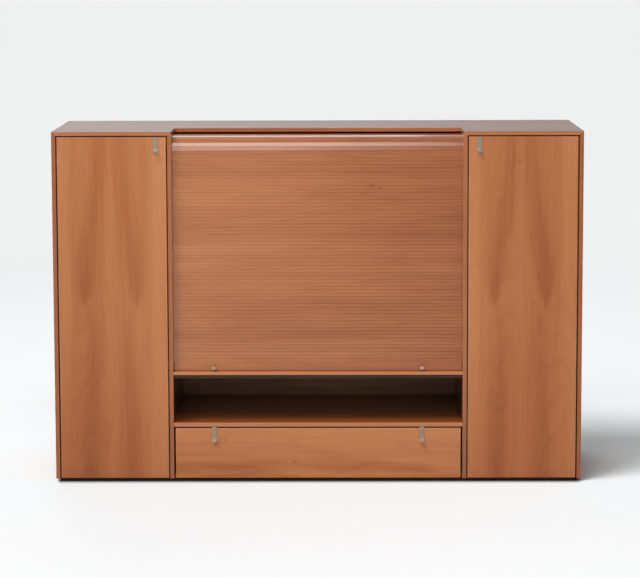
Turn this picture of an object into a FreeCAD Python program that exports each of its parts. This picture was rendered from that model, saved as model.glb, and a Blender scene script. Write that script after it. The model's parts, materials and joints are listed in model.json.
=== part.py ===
# Office credenza: two tall side bays with doors, and between them a slat shutter, an open
# niche and a drawer. Millimetres. X runs along the width, the fronts face -Y, Z points up.
# The origin is the bottom centre of the bounding box, pulls included.
import FreeCAD, Part
import math
import os
import re
import Sketcher

# Driving dimensions: alias, value, what it is.
DIMENSIONS = [
    ("overall_width", 1800, "over the side panels"),
    ("overall_height", 1205, "floor to the top surface"),
    ("carcass_depth", 500, "front edges to the back"),
    ("board", 14, "thickness of the carcass boards"),
    ("bay_width", 378, "clear width of a side bay"),
    ("plinth_height", 10, "floor to the carcass"),
    ("plinth_inset", 16, "plinth face behind the carcass edges"),
    ("plinth_rail", 20, "width of the plinth rails"),
    ("plinth_lift", 1.5, "plinth clear of the floor, on the glides"),
    ("glide_radius", 18, "levelling glide"),
    ("back_board", 10, "thickness of the back panels"),
    ("back_seam", 0.25, "half the seam between back panels"),
    ("reveal", 4, "gap round the doors and above the drawer front"),
    ("door_board", 19, "thickness of doors and drawer front"),
    ("foot_gap", 3, "doors and drawer front above the carcass bottom"),
    ("behind_front", 5, "space behind a closed front, for the turning door edge"),
    ("edge_round", 1, "rounding of the front edges"),
    ("hinge_round", 3, "rounding of the hinge-side edge"),
    ("pivot_inset", 10, "pivot axis from the door's edge and face"),
    ("pivot_radius", 3, "pivot pin"),
    ("pivot_fit", 0.05, "clearance round the pivot pin"),
    ("pivot_reach", 15, "pin standing out of its plate"),
    ("pivot_plate", 2, "thickness of a pivot plate"),
    ("pivot_plate_width", 28, "pivot plate along X"),
    ("pivot_plate_front", 3, "pivot plate behind the front edges"),
    ("pivot_plate_back", 60, "rear end of a pivot plate"),
    ("notch_depth", 160, "front notch of the top"),
    ("shoulder_gap", 6, "flat run of the shutter below the top panel"),
    ("deck_level", 381, "upper face of the divider deck"),
    ("deck_board", 10, "thickness of the divider deck"),
    ("deck_rail_height", 12, "stiffener under the divider deck"),
    ("deck_rail_depth", 18, "stiffener along Y"),
    ("deck_rail_inset", 5, "stiffener behind the deck's edge"),
    ("niche_level", 205, "upper face of the drawer deck"),
    ("deck_setback", 0.5, "drawer deck's edge behind the drawer pulls"),
    ("niche_lining", 6, "back of the niche"),
    ("niche_depth", 480, "front edges to the niche's back"),
    ("slat_pitch", 11.9, "one slat of the shutter"),
    ("slat_count", 61, "slats of the vertical run"),
    ("slat_thickness", 9, "slat without the canvas"),
    ("slat_gap", 0.4, "joint between two slats"),
    ("slat_bevel", 1.2, "bevel of a slat's front edges"),
    ("slat_seat", 0.8, "slat back let into the glue and canvas"),
    ("canvas", 1, "canvas behind the slats"),
    ("shutter_setback", 20, "slat faces behind the front edges"),
    ("shoulder_slats", 5, "slats on the quarter turn"),
    ("flat_slats", 11, "slats on the flat run"),
    ("track_depth", 7, "depth of the routed track"),
    ("track_outer", 0.8, "clearance on the slats' face side"),
    ("track_inner", 0.5, "clearance on the canvas side"),
    ("slat_tongue", 6, "slat end inside the track"),
    ("return_gap", 6, "return run in front of the back panel"),
    ("return_end", 700, "lower end of the return track"),
    ("guard_board", 6, "panel in front of the return run"),
    ("guard_back", 466, "front edges to the guard's rear face"),
    ("guard_top", 1155, "upper edge of the guard"),
    ("rail_lift", 0.5, "closed bottom rail above the deck"),
    ("rail_thickness", 16, "bottom rail of the shutter"),
    ("rail_side_gap", 1, "bottom rail short of each partition"),
    ("rail_tongue", 9, "thickness of the rail's end tongues"),
    ("rail_bevel", 1.5, "bevel of the rail's front edges"),
    ("knob_spread", 356, "knob axis from the middle"),
    ("knob_level", 394.5, "knob axis above the floor"),
    ("knob_radius", 7, "knob head"),
    ("knob_neck", 3.5, "radius of the knob's neck"),
    ("knob_reach", 16, "knob in front of the rail"),
    ("knob_head", 9, "length of the knob's head"),
    ("knob_chamfer", 1.5, "chamfer of the knob's head"),
    ("pull_width", 16, "strip pull"),
    ("pull_length", 56, "strip pull, top to tip"),
    ("pull_thickness", 2, "strip pull"),
    ("pull_reach", 12, "flared tip in front of the door"),
    ("pull_flare", 60, "turn of the flared end in degrees"),
    ("door_pull_x", 547, "door pull from the middle"),
    ("drawer_pull_x", 355, "drawer pull from the middle"),
    ("drawer_pull_rise", 6, "drawer pull above the drawer front"),
    ("shelf_board", 18, "thickness of a shelf"),
    ("shelf_gap", 1, "shelf short of each side"),
    ("shelf_front", 26, "side shelf behind the front edges"),
    ("shelf_tail", 2, "shelf clear of the back"),
    ("low_shelf", 405, "upper face of the lower side shelf"),
    ("high_shelf", 797, "upper face of the upper side shelf"),
    ("middle_shelf", 778, "upper face of the middle shelf"),
    ("middle_shelf_front", 42, "middle shelf behind the front edges"),
    ("pin_radius", 2.45, "shelf pin"),
    ("pin_hole", 2.5, "radius of the shelf pin holes"),
    ("pin_hole_depth", 9, "shelf pin holes"),
    ("pin_reach", 8, "pin standing out of the board"),
    ("pin_front", 70, "front pins behind the front edges"),
    ("pin_back", 420, "rear pins behind the front edges"),
    ("catch_length", 46, "magnetic catch along X"),
    ("catch_depth", 15, "magnetic catch along Y"),
    ("catch_height", 14, "magnetic catch"),
    ("catch_gap", 0.5, "closed strike plate to the catch"),
    ("strike_plate", 1, "thickness of the strike plate"),
    ("strike_length", 38, "strike plate along X"),
    ("strike_height", 12, "strike plate"),
    ("drawer_side_gap", 6, "drawer front short of each partition"),
    ("drawer_wood", 12, "drawer sides and back"),
    ("drawer_base", 6, "drawer bottom"),
    ("drawer_groove", 6, "depth of the grooves for the bottom"),
    ("drawer_low", 40, "lower edge of the drawer sides"),
    ("drawer_high", 160, "upper edge of the drawer sides"),
    ("drawer_length", 410, "drawer sides along Y"),
    ("runner_space", 13, "drawer side to partition"),
    ("runner_length", 400, "runner members"),
    ("runner_level", 100, "middle height of the runners"),
    ("runner_height", 45, "cabinet member"),
    ("runner_sheet", 1.2, "steel of the runners"),
    ("runner_lip", 9, "width of the cabinet member"),
    ("runner_step", 1.5, "clearance between two members"),
]

ALIASES = [alias for alias, _, _ in DIMENSIONS]

# Places worked out from the dimensions. Depths count from the carcass front edges.
PLACES = {
    "half_width": "overall_width / 2",
    "side_inner": "half_width - board",
    "partition_outer": "side_inner - bay_width",
    "partition_inner": "partition_outer - board",
    "front": "-(carcass_depth - pull_reach) / 2",
    "back_face": "carcass_depth - back_board",
    "under_top": "overall_height - board",
    "floor_board_top": "plinth_height + board",
    "door_width": "bay_width - 2 * reveal",
    "door_bottom": "plinth_height + foot_gap",
    "door_top": "under_top - reveal",
    "pivot_x": "side_inner - reveal - pivot_inset",
    "inside_front": "door_board + behind_front",
    "drawer_top": "niche_level - board - 5",
    "drawer_half": "partition_inner - runner_space",
    "canvas_radius": "shoulder_slats * slat_pitch / (90 * 3.14159265 / 180)",
    "face_radius": "canvas_radius + slat_thickness",
    "curtain_build": "slat_thickness + canvas",
    "shoulder_level": "under_top - shoulder_gap - face_radius",
    "shoulder_depth": "shutter_setback + face_radius",
    "return_depth": "back_face - return_gap - face_radius",
    "track_wide": "face_radius + track_outer",
    "track_narrow": "face_radius - curtain_build - track_inner",
    "slat_half": "partition_inner + slat_tongue",
    "rail_bottom": "deck_level + rail_lift",
    "rail_top": "shoulder_level - slat_count * slat_pitch",
    "rail_height": "rail_top - rail_bottom",
    "pull_radius": "(pull_reach - pull_thickness) / (1 - cos(pull_flare * 1 deg))",
    "pull_straight": "pull_length - (pull_radius + pull_thickness) * sin(pull_flare * 1 deg)",
}

SIDES = {"left": -1, "right": 1}

doc = FreeCAD.newDocument("Credenza")
sheet = doc.addObject("Spreadsheet::Sheet", "Dim")
pieces = []


def fill_sheet():
    for row, (alias, value, note) in enumerate(DIMENSIONS, start=1):
        sheet.set("A%d" % row, note)
        sheet.set("B%d" % row, str(value))
        sheet.setAlias("B%d" % row, alias)
    doc.recompute()


def formula(text):
    """Spell out a formula's places and sheet cells."""
    def spell(match):
        word = match.group(0)
        if word in PLACES:
            return "(" + formula(PLACES[word]) + ")"
        return "Dim." + word if word in ALIASES else word
    return re.sub(r"[a-z][a-z_]*", spell, str(text))


def number(text):
    return float(sheet.evalExpression(formula(text)))


def bind(target, prop, text):
    target.setExpression(prop, formula(text))


def new_body(label, x="0", depth="0", z="0"):
    """A sub-part whose local origin is at x, a depth behind the front edges, and z."""
    body = doc.addObject("PartDesign::Body", label)
    body.Label = label
    bind(body, "Placement.Base.x", x)
    bind(body, "Placement.Base.y", "front + " + depth)
    bind(body, "Placement.Base.z", z)
    pieces.append(body)
    return body


def origin_feature(body, role):
    return next(item for item in body.Origin.OriginFeatures if item.Role == role)


def new_sketch(body, plane, lift=None):
    """A sketch on one of the body's own planes, lifted along the plane's normal."""
    sketch = body.newObject("Sketcher::SketchObject", "Sketch")
    sketch.AttachmentSupport = [(origin_feature(body, plane + "_Plane"), "")]
    sketch.MapMode = "FlatFace"
    if lift is not None:
        bind(sketch, "AttachmentOffset.Base.z", lift)
    return sketch


def pin(sketch, kind, edge, vertex, text):
    """Bind one coordinate of a vertex, measured from the sketch's origin."""
    constraint = Sketcher.Constraint(kind, -1, 1, edge, vertex, number(text))
    index = sketch.addConstraint(constraint)
    bind(sketch, "Constraints[%d]" % index, text)


def bind_radius(sketch, edge, text):
    index = sketch.addConstraint(Sketcher.Constraint("Radius", edge, number(text)))
    bind(sketch, "Constraints[%d]" % index, text)


def arc_edge(start, finish, centre, clockwise):
    low, high = (finish, start) if clockwise else (start, finish)
    first = math.atan2(low.y - centre.y, low.x - centre.x)
    last = math.atan2(high.y - centre.y, high.x - centre.x)
    if last < first:
        last += 2 * math.pi
    circle = Part.Circle(centre, FreeCAD.Vector(0, 0, 1), low.distanceToPoint(centre))
    return Part.ArcOfCircle(circle, first, last)


def outline(sketch, corners, arcs=None):
    """A closed outline. arcs maps an edge's number to (centre x, centre y, radius, clockwise)."""
    arcs = arcs or {}
    base = sketch.GeometryCount
    points = [FreeCAD.Vector(number(x), number(y), 0) for x, y in corners]
    total = len(points)
    ends = []
    for index, start in enumerate(points):
        finish = points[(index + 1) % total]
        if index in arcs:
            middle_x, middle_y, _, clockwise = arcs[index]
            centre = FreeCAD.Vector(number(middle_x), number(middle_y), 0)
            sketch.addGeometry(arc_edge(start, finish, centre, clockwise))
            ends.append((2, 1) if clockwise else (1, 2))
        else:
            sketch.addGeometry(Part.LineSegment(start, finish))
            ends.append((1, 2))
    for index in range(total):
        after = (index + 1) % total
        joint = (base + index, ends[index][1], base + after, ends[after][0])
        sketch.addConstraint(Sketcher.Constraint("Coincident", *joint))
    for index, (x, y) in enumerate(corners):
        pin(sketch, "DistanceX", base + index, ends[index][0], x)
        pin(sketch, "DistanceY", base + index, ends[index][0], y)
    for index, arc in arcs.items():
        bind_radius(sketch, base + index, arc[2])


def rectangle(sketch, left, low, right, high):
    outline(sketch, [(left, low), (right, low), (right, high), (left, high)])


def circle(sketch, x, y, radius):
    edge = sketch.GeometryCount
    centre = FreeCAD.Vector(number(x), number(y), 0)
    sketch.addGeometry(Part.Circle(centre, FreeCAD.Vector(0, 0, 1), number(radius)))
    pin(sketch, "DistanceX", edge, 3, x)
    pin(sketch, "DistanceY", edge, 3, y)
    bind_radius(sketch, edge, radius)


def pad(body, sketch, length, backward=False, both_ways=False):
    feature = body.newObject("PartDesign::Pad", "Pad")
    feature.Profile = sketch
    bind(feature, "Length", length)
    feature.Reversed = backward
    if both_ways:
        feature.SideType = "Symmetric"
    return feature


def pocket(body, sketch, length, backward=False):
    """Cut away from the sketch against its normal, or along it when backward."""
    doc.recompute()
    before = body.Shape.Volume
    feature = body.newObject("PartDesign::Pocket", "Pocket")
    feature.Profile = sketch
    bind(feature, "Length", length)
    feature.Reversed = backward
    doc.recompute()
    if body.Shape.Volume >= before:
        raise RuntimeError(body.Label + ": a pocket cuts nothing")
    return feature


def repeat(body, feature, direction, spacing, count):
    pattern = body.newObject("PartDesign::LinearPattern", "LinearPattern")
    pattern.Originals = [feature]
    pattern.Direction = direction
    pattern.Mode = "Spacing"
    bind(pattern, "Offset", spacing)
    bind(pattern, "Occurrences", count)
    body.Tip = pattern
    return pattern


def edges_where(shape, test):
    """Names of the straight edges whose two ends pass a test."""
    names = []
    for index, edge in enumerate(shape.Edges, start=1):
        ends = [vertex.Point for vertex in edge.Vertexes]
        if len(ends) == 2 and all(test(point) for point in ends):
            names.append("Edge%d" % index)
    return names


def fillet(body, test, radius):
    """Round the edges of the body's last feature whose ends pass a test, in body coordinates."""
    doc.recompute()
    base = body.Tip
    feature = body.newObject("PartDesign::Fillet", "Fillet")
    feature.Base = (base, edges_where(base.Shape, test))
    bind(feature, "Radius", radius)
    doc.recompute()
    return feature


def near(value, text):
    return abs(value - number(text)) < 0.01


def slab(label, x, depth, z, size_x, size_y, size_z):
    """A plain board: its lower left front corner and its size."""
    body = new_body(label, x, depth, z)
    sketch = new_sketch(body, "XY")
    rectangle(sketch, "0", "0", size_x, size_y)
    pad(body, sketch, size_z)
    return body


def side_panel(side):
    """Mitred to the top; the local origin is at the inner face's lower front corner."""
    sign = SIDES[side]
    body = new_body("side_panel_" + side, "%d * side_inner" % sign, "0", "plinth_height")
    sketch = new_sketch(body, "XZ")
    tall = "overall_height - plinth_height"
    outer = "%d * board" % sign
    outline(sketch, [("0", "0"), (outer, "0"), (outer, tall), ("0", tall + " - board")])
    pad(body, sketch, "carcass_depth", backward=True)
    pin_holes(body, ["low_shelf", "high_shelf"], "0", backward=sign > 0)


def pin_holes(body, shelves, lift, backward):
    """A front and a rear hole for the pins under each shelf."""
    sketch = new_sketch(body, "YZ", lift)
    for shelf in shelves:
        level = "%s - shelf_board - pin_radius - plinth_height" % shelf
        for column in ("pin_front", "pin_back"):
            circle(sketch, column, level, "pin_hole")
    pocket(body, sketch, "pin_hole_depth", backward)


def track_outline(sketch):
    """The shutter's path: up behind the front, over the shoulder, back, and down at the rear."""
    def level(text):
        return text + " - plinth_height"
    front_face = "shoulder_depth - track_wide"
    front_back = "shoulder_depth - track_narrow"
    rear_face = "return_depth + track_wide"
    rear_back = "return_depth + track_narrow"
    turn = level("shoulder_level")
    corners = [
        (front_face, level("deck_level")),
        (front_face, turn),
        ("shoulder_depth", turn + " + track_wide"),
        ("return_depth", turn + " + track_wide"),
        (rear_face, turn),
        (rear_face, level("return_end")),
        (rear_back, level("return_end")),
        (rear_back, turn),
        ("return_depth", turn + " + track_narrow"),
        ("shoulder_depth", turn + " + track_narrow"),
        (front_back, turn),
        (front_back, level("deck_level")),
    ]
    arcs = {
        1: ("shoulder_depth", turn, "track_wide", True),
        3: ("return_depth", turn, "track_wide", True),
        7: ("return_depth", turn, "track_narrow", False),
        9: ("shoulder_depth", turn, "track_narrow", False),
    }
    outline(sketch, corners, arcs)


def partition(side):
    """The local origin is on the face towards the middle bay, which carries the track."""
    sign = SIDES[side]
    body = new_body("partition_" + side, "%d * partition_inner" % sign, "0", "plinth_height")
    sketch = new_sketch(body, "YZ")
    rectangle(sketch, "0", "0", "back_face", "under_top - plinth_height")
    pad(body, sketch, "board", backward=sign < 0)
    track = new_sketch(body, "YZ")
    track_outline(track)
    pocket(body, track, "track_depth", backward=sign > 0)
    pin_holes(body, ["middle_shelf"], "0", backward=sign > 0)
    pin_holes(body, ["low_shelf", "high_shelf"], "%d * board" % sign, backward=sign < 0)


def top_panel():
    """Mitred ends, a front notch for the shutter and recesses for the upper pivot plates."""
    body = new_body("top_panel", "0", "0", "under_top")
    section = new_sketch(body, "XZ")
    outline(section, [("-side_inner", "0"), ("side_inner", "0"),
                      ("half_width", "board"), ("-half_width", "board")])
    pad(body, section, "carcass_depth", backward=True)
    notch = new_sketch(body, "XY")
    rectangle(notch, "-partition_inner", "0", "partition_inner", "notch_depth")
    pocket(body, notch, "board", backward=True)
    recess = new_sketch(body, "XY")
    for sign in SIDES.values():
        plate_outline(recess, "%d * pivot_x" % sign)
    pocket(body, recess, "pivot_plate", backward=True)


def plate_outline(sketch, middle, front="pivot_plate_front"):
    rectangle(sketch, middle + " - pivot_plate_width / 2", front,
              middle + " + pivot_plate_width / 2", "pivot_plate_back")


def bottom_panels():
    """One board under each bay; the outer two are recessed underneath for the pivot plates."""
    long_y = "back_face - inside_front"
    slab("bottom_panel_centre", "-partition_inner", "inside_front", "plinth_height",
         "2 * partition_inner", long_y, "board")
    for side, sign in SIDES.items():
        corner = "-side_inner" if sign < 0 else "partition_outer"
        body = slab("bottom_panel_" + side, corner, "inside_front", "plinth_height",
                    "bay_width", long_y, "board")
        recess = new_sketch(body, "XY")
        middle = "%d * pivot_x - (%s)" % (sign, corner)
        rectangle(recess, middle + " - pivot_plate_width / 2", "0",
                  middle + " + pivot_plate_width / 2", "pivot_plate_back - inside_front")
        pocket(body, recess, "pivot_plate", backward=True)


def decks():
    inner = "2 * partition_inner"
    slab("divider_deck", "-partition_inner", "0", "deck_level - deck_board",
         inner, "back_face", "deck_board")
    slab("deck_rail", "-partition_inner", "deck_rail_inset",
         "deck_level - deck_board - deck_rail_height",
         inner, "deck_rail_depth", "deck_rail_height")
    slab("drawer_deck", "-partition_inner", "deck_setback", "niche_level - board",
         inner, "back_face - deck_setback", "board")


def back_panels():
    tall = "under_top - plinth_height"
    seam = "partition_inner + board / 2"
    slab("back_panel_centre", "-(%s - back_seam)" % seam, "back_face", "plinth_height",
         "2 * (%s - back_seam)" % seam, "back_board", tall)
    width = "side_inner - (%s) - back_seam" % seam
    slab("back_panel_left", "-side_inner", "back_face", "plinth_height",
         width, "back_board", tall)
    slab("back_panel_right", seam + " + back_seam", "back_face", "plinth_height",
         width, "back_board", tall)
    slab("return_guard", "-partition_inner", "guard_back - guard_board", "deck_level",
         "2 * partition_inner", "guard_board", "guard_top - deck_level")
    slab("niche_back", "-partition_inner", "niche_depth", "niche_level",
         "2 * partition_inner", "niche_lining", "deck_level - deck_board - niche_level")


def plinth():
    body = new_body("plinth_frame", "0", "0", "plinth_lift")
    ring = new_sketch(body, "XY")
    outer = "half_width - plinth_inset"
    inner = outer + " - plinth_rail"
    rear = "carcass_depth - plinth_inset"
    rectangle(ring, "-(%s)" % outer, "plinth_inset", outer, rear)
    rectangle(ring, "-(%s)" % inner, "plinth_inset + plinth_rail", inner, rear + " - plinth_rail")
    pad(body, ring, "plinth_height - plinth_lift")
    glides = new_body("glides")
    feet = new_sketch(glides, "XY")
    margin = "(plinth_inset + plinth_rail + glide_radius + 2)"
    for sign in SIDES.values():
        for depth in (margin, "carcass_depth - " + margin):
            circle(feet, "%d * (half_width - %s)" % (sign, margin), depth, "glide_radius")
    pad(glides, feet, "plinth_height")


def shelves():
    size_y = "back_face - shelf_tail - shelf_front"
    for side, sign in SIDES.items():
        left = "-side_inner" if sign < 0 else "partition_outer"
        for place in ("low", "high"):
            level = place + "_shelf"
            slab("shelf_%s_%s" % (side, place), left + " + shelf_gap", "shelf_front",
                 level + " - shelf_board", "bay_width - 2 * shelf_gap", size_y, "shelf_board")
    slab("shelf_middle", "-partition_inner + shelf_gap", "middle_shelf_front",
         "middle_shelf - shelf_board", "2 * (partition_inner - shelf_gap)",
         "guard_back - guard_board - shelf_tail - middle_shelf_front", "shelf_board")


def shelf_pins(label, walls, levels):
    """Steel pins in their holes. walls: (x of the hole's end, x of the pin's tip)."""
    pins = []
    for level in levels:
        for column in ("pin_front", "pin_back"):
            for start in walls:
                peg = doc.addObject("Part::Cylinder", "Peg")
                bind(peg, "Radius", "pin_radius")
                bind(peg, "Height", "pin_hole_depth + pin_reach")
                peg.Placement.Rotation = FreeCAD.Rotation(FreeCAD.Vector(0, 1, 0), 90)
                bind(peg, "Placement.Base.x", start)
                bind(peg, "Placement.Base.y", "front + " + column)
                bind(peg, "Placement.Base.z", level + " - shelf_board - pin_radius")
                pins.append(peg)
    group = doc.addObject("Part::Compound", label)
    group.Label = label
    group.Links = pins
    pieces.append(group)


def slat_corners(face, back):
    """Cross-section of one slat across the path: face towards -Y, centred on Z = 0."""
    half = "(slat_pitch - slat_gap) / 2"
    return [
        (back, "-" + half),
        (back, half),
        (face + " + slat_bevel", half),
        (face, half + " - slat_bevel"),
        (face, "-%s + slat_bevel" % half),
        (face + " + slat_bevel", "-" + half),
    ]


def curtain_front():
    """The vertical run: canvas with slats glued on, from the bottom rail to the shoulder."""
    body = new_body("curtain_front", "0", "shutter_setback", "rail_top")
    sheet_side = new_sketch(body, "YZ")
    rectangle(sheet_side, "slat_thickness", "0", "curtain_build", "slat_count * slat_pitch")
    pad(body, sheet_side, "2 * slat_half", both_ways=True)
    section = new_sketch(body, "YZ")
    corners = slat_corners("0", "slat_thickness + slat_seat")
    outline(section, [(y, z + " + slat_pitch / 2") for y, z in corners])
    slat = pad(body, section, "2 * slat_half", both_ways=True)
    repeat(body, slat, (section, ["V_Axis"]), "slat_pitch", "slat_count")


def curtain_shoulder():
    """The quarter turn and the flat run. The local origin is the turn's axis."""
    body = new_body("curtain_shoulder", "0", "shoulder_depth", "shoulder_level")
    strip = new_sketch(body, "YZ")
    inner = "face_radius - curtain_build"
    tail = "flat_slats * slat_pitch"
    corners = [("-canvas_radius", "0"), ("0", "canvas_radius"), (tail, "canvas_radius"),
               (tail, inner), ("0", inner), ("-(%s)" % inner, "0")]
    outline(strip, corners, {0: ("0", "0", "canvas_radius", True), 4: ("0", "0", inner, False)})
    pad(body, strip, "2 * slat_half", both_ways=True)
    turning = new_sketch(body, "YZ")
    outline(turning, slat_corners("-face_radius", "-canvas_radius + slat_seat"))
    step = "(90 / shoulder_slats)"
    bind(turning, "AttachmentOffset.Rotation.Angle", "-%s / 2" % step)
    slat = pad(body, turning, "2 * slat_half", both_ways=True)
    pattern = body.newObject("PartDesign::PolarPattern", "PolarPattern")
    pattern.Originals = [slat]
    pattern.Axis = (origin_feature(body, "X_Axis"), [""])
    pattern.Reversed = True
    bind(pattern, "Angle", "%s * (shoulder_slats - 1)" % step)
    bind(pattern, "Occurrences", "shoulder_slats")
    body.Tip = pattern
    lying = new_sketch(body, "YZ")
    standing = slat_corners("-face_radius", "-canvas_radius + slat_seat")
    outline(lying, [(z + " + slat_pitch / 2", "-(%s)" % y) for y, z in standing])
    flat = pad(body, lying, "2 * slat_half", both_ways=True)
    repeat(body, flat, (lying, ["H_Axis"]), "slat_pitch", "flat_slats")


def curtain_rail():
    """Bottom rail of the shutter: a bevelled bar with a tongue at each end for the track."""
    body = new_body("curtain_rail", "0", "shutter_setback", "rail_bottom")
    section = new_sketch(body, "YZ")
    outline(section, [("rail_bevel", "0"), ("rail_thickness", "0"),
                      ("rail_thickness", "rail_height"), ("rail_bevel", "rail_height"),
                      ("0", "rail_height - rail_bevel"), ("0", "rail_bevel")])
    pad(body, section, "2 * (partition_inner - rail_side_gap)", both_ways=True)
    tongue = new_sketch(body, "YZ")
    rectangle(tongue, "rail_bevel", "0", "rail_tongue", "rail_height")
    pad(body, tongue, "2 * slat_half", both_ways=True)


def knobs():
    """A pair of turned knobs, each with a neck and a head chamfered at its front."""
    body = new_body("curtain_knobs", "-knob_spread", "shutter_setback", "knob_level")
    half = new_sketch(body, "YZ")
    tip = "-knob_reach"
    shoulder = "-(knob_reach - knob_head)"
    outline(half, [("0", "0"), ("0", "knob_neck"), (shoulder, "knob_neck"),
                   (shoulder, "knob_radius"), (tip + " + knob_chamfer", "knob_radius"),
                   (tip, "knob_radius - knob_chamfer"), (tip, "0")])
    turned = body.newObject("PartDesign::Revolution", "Revolution")
    turned.Profile = half
    turned.ReferenceAxis = (half, ["H_Axis"])
    turned.Angle = 360
    repeat(body, turned, (origin_feature(body, "X_Axis"), [""]), "2 * knob_spread", "2")


def door(side):
    """Inset door. Its pivot bores and the rounder edge are at the outer side."""
    sign = SIDES[side]
    left = "-side_inner + reveal" if sign < 0 else "partition_outer + reveal"
    body = slab("door_" + side, left, "0", "door_bottom",
                "door_width", "door_board", "door_top - door_bottom")
    hinge_x = "0" if sign < 0 else "door_width"
    free_x = "door_width" if sign < 0 else "0"
    tall = "door_top - door_bottom"
    bore_x = "pivot_inset" if sign < 0 else "door_width - pivot_inset"
    for lift, upward in (("0", True), (tall, False)):
        bore = new_sketch(body, "XY", lift)
        circle(bore, bore_x, "pivot_inset", "pivot_radius + pivot_fit")
        pocket(body, bore, "pivot_reach + 1", backward=upward)
    fillet(body, lambda point: abs(point.y) < 0.01 and near(point.x, hinge_x), "hinge_round")
    fillet(body, lambda point: abs(point.y) < 0.01 and near(point.x, free_x), "edge_round")


def pivots(side):
    """Plate and pin of the upper and lower door pivots; the plates are let into the boards."""
    middle = "%d * pivot_x" % SIDES[side]
    for place, level in (("top", "under_top"), ("bottom", "plinth_height")):
        upper = place == "top"
        body = new_body("pivot_%s_%s" % (side, place), middle, "0", level)
        plate = new_sketch(body, "XY")
        plate_outline(plate, "0")
        pad(body, plate, "pivot_plate")
        stud = new_sketch(body, "XY", "0" if upper else "pivot_plate")
        circle(stud, "0", "pivot_inset", "pivot_radius")
        reach = "pivot_reach" if upper else "pivot_reach - 1"
        pad(body, stud, reach, backward=upper)


def pull(label, x, top):
    """Strip pull: a flat strip whose lower end curves outward."""
    body = new_body(label, x, "0", top)
    section = new_sketch(body, "YZ")
    wide = "(pull_radius + pull_thickness)"
    turn = "(pull_flare * 1 deg)"
    low = "-pull_straight"
    corners = [
        ("0", "0"),
        ("0", low),
        ("-%s * (1 - cos%s)" % (wide, turn), "%s - %s * sin%s" % (low, wide, turn)),
        ("-pull_reach", "%s - pull_radius * sin%s" % (low, turn)),
        ("-pull_thickness", low),
        ("-pull_thickness", "0"),
    ]
    centre = ("-" + wide, low)
    arcs = {1: centre + (wide, True), 3: centre + ("pull_radius", False)}
    outline(section, corners, arcs)
    pad(body, section, "pull_width", both_ways=True)


def catches(side):
    """Magnetic catch under the top, and the strike plate that meets it on the door's back."""
    sign = SIDES[side]
    middle = "%d * (partition_outer + 6 + catch_length / 2)" % sign
    slab("catch_" + side, middle + " - catch_length / 2",
         "door_board + strike_plate + catch_gap", "under_top - catch_height",
         "catch_length", "catch_depth", "catch_height")
    slab("strike_" + side, middle + " - strike_length / 2", "door_board",
         "door_top - strike_height", "strike_length", "strike_plate", "strike_height")


def drawer():
    low = "drawer_low + drawer_groove"
    front_half = "partition_inner - drawer_side_gap"
    face = slab("drawer_front", "-(%s)" % front_half, "0", "door_bottom",
                "2 * (%s)" % front_half, "door_board", "drawer_top - door_bottom")
    slot = new_sketch(face, "XZ", "-door_board")
    half = "(drawer_half - drawer_wood + drawer_groove)"
    centre = "(%s)" % front_half
    rectangle(slot, "%s - %s" % (centre, half), low + " - door_bottom",
              "%s + %s" % (centre, half), low + " + drawer_base - door_bottom")
    pocket(face, slot, "drawer_groove", backward=True)
    fillet(face, lambda point: abs(point.y) < 0.01, "edge_round")
    for side, sign in SIDES.items():
        corner = "-drawer_half" if sign < 0 else "drawer_half - drawer_wood"
        body = slab("drawer_side_" + side, corner, "door_board", "drawer_low",
                    "drawer_wood", "drawer_length", "drawer_high - drawer_low")
        lift = "drawer_wood" if sign < 0 else "0"
        groove = new_sketch(body, "YZ", lift)
        rectangle(groove, "0", "drawer_groove", "drawer_length", "drawer_groove + drawer_base")
        pocket(body, groove, "drawer_groove", backward=sign > 0)
    inner = "drawer_half - drawer_wood"
    slab("drawer_back", "-(%s)" % inner, "door_board + drawer_length - drawer_wood",
         low + " + drawer_base", "2 * (%s)" % inner, "drawer_wood",
         "drawer_high - (%s) - drawer_base" % low)
    slab("drawer_bottom", "-" + half, "door_board - drawer_groove", low, "2 * " + half,
         "drawer_length + drawer_groove", "drawer_base")


def channel(label, side, near_web, lip, tall):
    """One steel member of a runner. Its web is near_web from the partition, lips reach lip."""
    sign = SIDES[side]
    body = new_body(label, "%d * partition_inner" % sign, "door_board", "runner_level")
    section = new_sketch(body, "XZ")
    inner_web = near_web + " + runner_sheet" if lip != "0" else near_web
    half = "(%s) / 2" % tall
    within = "%s - runner_sheet" % half
    corners = [(near_web, "-" + half), (lip, "-" + half), (lip, "-(%s)" % within),
               (inner_web, "-(%s)" % within), (inner_web, within), (lip, within),
               (lip, half), (near_web, half)]
    outline(section, [("%d * (%s)" % (-sign, x), z) for x, z in corners])
    pad(body, section, "runner_length", backward=True)


def runners(side):
    """Cabinet, middle and drawer members nest inside one another without touching."""
    sign = SIDES[side]
    middle_tall = "runner_height - 2 * runner_sheet - 2 * runner_step"
    channel("runner_cabinet_" + side, side, "0", "runner_lip", "runner_height")
    channel("runner_middle_" + side, side, "runner_sheet + 1", "runner_lip + 1.6", middle_tall)
    body = new_body("runner_drawer_" + side, "%d * drawer_half" % sign, "door_board",
                    "runner_level")
    section = new_sketch(body, "XZ")
    half = "(%s) / 2 - runner_sheet - runner_step" % middle_tall
    within = half + " - runner_sheet"
    web = "runner_sheet"
    lip = "runner_space - runner_lip + 3"
    corners = [("0", "-(%s)" % half), (lip, "-(%s)" % half), (lip, "-(%s)" % within),
               (web, "-(%s)" % within), (web, within), (lip, within), (lip, half), ("0", half)]
    outline(section, [("%d * (%s)" % (sign, x), z) for x, z in corners])
    pad(body, section, "runner_length", backward=True)


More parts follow.
